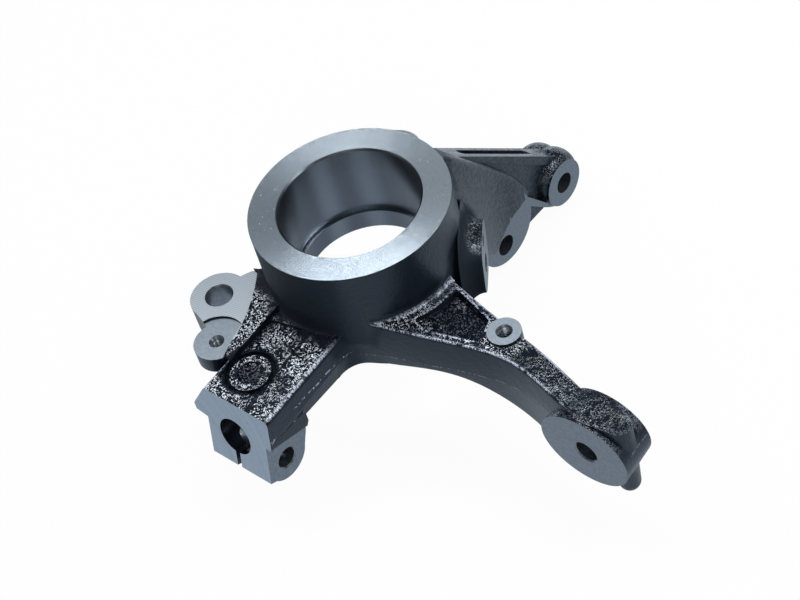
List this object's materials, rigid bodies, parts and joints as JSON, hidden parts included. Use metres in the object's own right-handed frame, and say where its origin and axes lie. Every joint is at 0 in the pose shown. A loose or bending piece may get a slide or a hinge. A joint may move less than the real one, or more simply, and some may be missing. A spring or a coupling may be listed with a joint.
{
  "type": "steering knuckle",
  "caption": "Cast steering knuckle: bearing hub with a steering arm, a slotted ball joint clamp, a bolted strut tongue and brake caliper ears.",
  "frame": {"origin": "centre of the wheel bearing's seat, on the wheel's axis", "axes": "+Z along the wheel's axis out of the outboard face, +X towards the steering arm's eye, +Y towards the strut tongue; the ball joint clamp is at -Y"},
  "size_m": [0.2515, 0.2662, 0.1147],
  "materials": {
    "casting": "black painted cast skin with bare machined faces and bores"
  },
  "bodies": {
    "root": {"steering_knuckle": "casting"}
  },
  "joints": []
}
